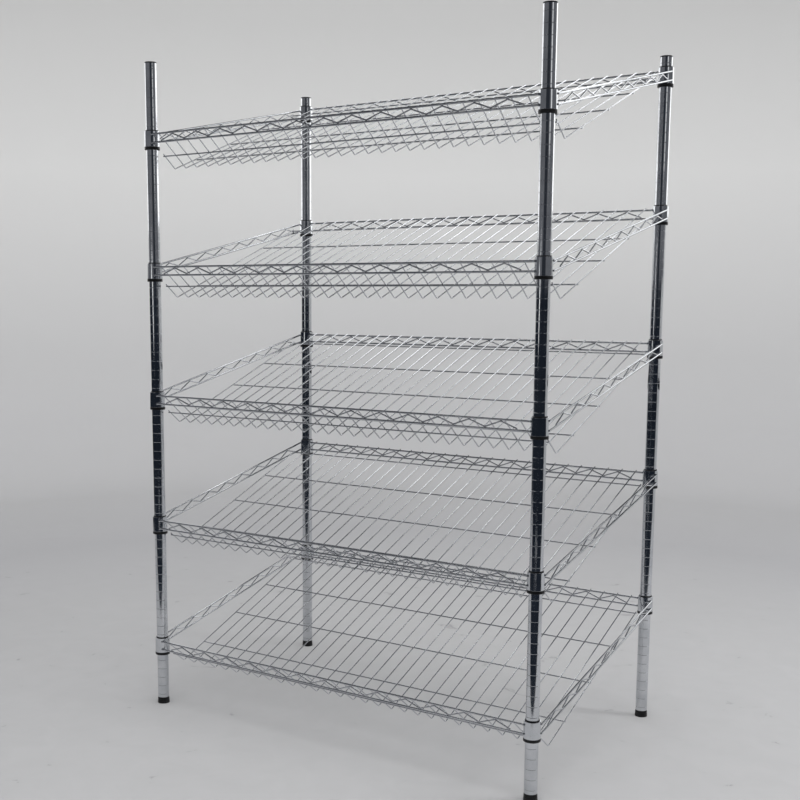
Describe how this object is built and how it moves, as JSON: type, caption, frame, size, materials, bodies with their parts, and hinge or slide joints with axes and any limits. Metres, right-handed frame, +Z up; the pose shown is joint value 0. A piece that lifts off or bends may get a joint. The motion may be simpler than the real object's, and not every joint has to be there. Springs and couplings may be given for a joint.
{
  "type": "bakery bread rack",
  "caption": "Free-standing chrome wire bread rack with round grooved posts and sloping wire shelves that end in a raised front lip.",
  "frame": {"origin": "on the floor, in the middle of the four posts", "axes": "+Z up, +X to the right along the front, -Y towards the front (the low side of the shelves)"},
  "size_m": [1.2306, 0.7386, 1.8],
  "materials": {
    "chrome_plated_steel": "bright polished plating",
    "black_plastic": "moulded, slightly glossy"
  },
  "bodies": {
    "frame_of_posts": {"post_front_left": "chrome_plated_steel", "post_cap_front_left": "black_plastic", "post_front_right": "chrome_plated_steel", "post_cap_front_right": "black_plastic", "post_rear_left": "chrome_plated_steel", "post_cap_rear_left": "black_plastic", "post_rear_right": "chrome_plated_steel", "post_cap_rear_right": "black_plastic", "sleeve_1_front_left_front_half": "black_plastic", "sleeve_1_front_left_back_half": "black_plastic", "sleeve_1_front_right_front_half": "black_plastic", "sleeve_1_front_right_back_half": "black_plastic", "sleeve_1_rear_left_front_half": "black_plastic", "sleeve_1_rear_left_back_half": "black_plastic", "sleeve_1_rear_right_front_half": "black_plastic", "sleeve_1_rear_right_back_half": "black_plastic", "sleeve_2_front_left_front_half": "black_plastic", "sleeve_2_front_left_back_half": "black_plastic", "sleeve_2_front_right_front_half": "black_plastic", "sleeve_2_front_right_back_half": "black_plastic", "sleeve_2_rear_left_front_half": "black_plastic", "sleeve_2_rear_left_back_half": "black_plastic", "sleeve_2_rear_right_front_half": "black_plastic", "sleeve_2_rear_right_back_half": "black_plastic", "sleeve_3_front_left_front_half": "black_plastic", "sleeve_3_front_left_back_half": "black_plastic", "sleeve_3_front_right_front_half": "black_plastic", "sleeve_3_front_right_back_half": "black_plastic", "sleeve_3_rear_left_front_half": "black_plastic", "sleeve_3_rear_left_back_half": "black_plastic", "sleeve_3_rear_right_front_half": "black_plastic", "sleeve_3_rear_right_back_half": "black_plastic", "sleeve_4_front_left_front_half": "black_plastic", "sleeve_4_front_left_back_half": "black_plastic", "sleeve_4_front_right_front_half": "black_plastic", "sleeve_4_front_right_back_half": "black_plastic", "sleeve_4_rear_left_front_half": "black_plastic", "sleeve_4_rear_left_back_half": "black_plastic", "sleeve_4_rear_right_front_half": "black_plastic", "sleeve_4_rear_right_back_half": "black_plastic", "sleeve_5_front_left_front_half": "black_plastic", "sleeve_5_front_left_back_half": "black_plastic", "sleeve_5_front_right_front_half": "black_plastic", "sleeve_5_front_right_back_half": "black_plastic", "sleeve_5_rear_left_front_half": "black_plastic", "sleeve_5_rear_left_back_half": "black_plastic", "sleeve_5_rear_right_front_half": "black_plastic", "sleeve_5_rear_right_back_half": "black_plastic"},
    "shelf_1_body": {"shelf_1": "chrome_plated_steel"},
    "shelf_2_body": {"shelf_2": "chrome_plated_steel"},
    "shelf_3_body": {"shelf_3": "chrome_plated_steel"},
    "shelf_4_body": {"shelf_4": "chrome_plated_steel"},
    "shelf_5_body": {"shelf_5": "chrome_plated_steel"},
    "foot_front_left_body": {"levelling_foot_front_left": "black_plastic"},
    "foot_front_right_body": {"levelling_foot_front_right": "black_plastic"},
    "foot_rear_left_body": {"levelling_foot_rear_left": "black_plastic"},
    "foot_rear_right_body": {"levelling_foot_rear_right": "black_plastic"}
  },
  "joints": [
    {"name": "shelf_1_lift", "type": "slide", "parent": "frame_of_posts", "child": "shelf_1_body", "axis": [0, 0, 1], "range_m": [0, 0.2794]},
    {"name": "shelf_2_lift", "type": "slide", "parent": "frame_of_posts", "child": "shelf_2_body", "axis": [0, 0, 1], "range_m": [0, 0.2794]},
    {"name": "shelf_3_lift", "type": "slide", "parent": "frame_of_posts", "child": "shelf_3_body", "axis": [0, 0, 1], "range_m": [0, 0.2794]},
    {"name": "shelf_4_lift", "type": "slide", "parent": "frame_of_posts", "child": "shelf_4_body", "axis": [0, 0, 1], "range_m": [0, 0.2794]},
    {"name": "shelf_5_lift", "type": "slide", "parent": "frame_of_posts", "child": "shelf_5_body", "axis": [0, 0, 1], "range_m": [0, 0.0508]},
    {"name": "foot_front_left_screw", "type": "slide", "parent": "frame_of_posts", "child": "foot_front_left_body", "axis": [0, 0, -1], "range_m": [0, 0.015]},
    {"name": "foot_front_right_screw", "type": "slide", "parent": "frame_of_posts", "child": "foot_front_right_body", "axis": [0, 0, -1], "range_m": [0, 0.015]},
    {"name": "foot_rear_left_screw", "type": "slide", "parent": "frame_of_posts", "child": "foot_rear_left_body", "axis": [0, 0, -1], "range_m": [0, 0.015]},
    {"name": "foot_rear_right_screw", "type": "slide", "parent": "frame_of_posts", "child": "foot_rear_right_body", "axis": [0, 0, -1], "range_m": [0, 0.015]}
  ]
}
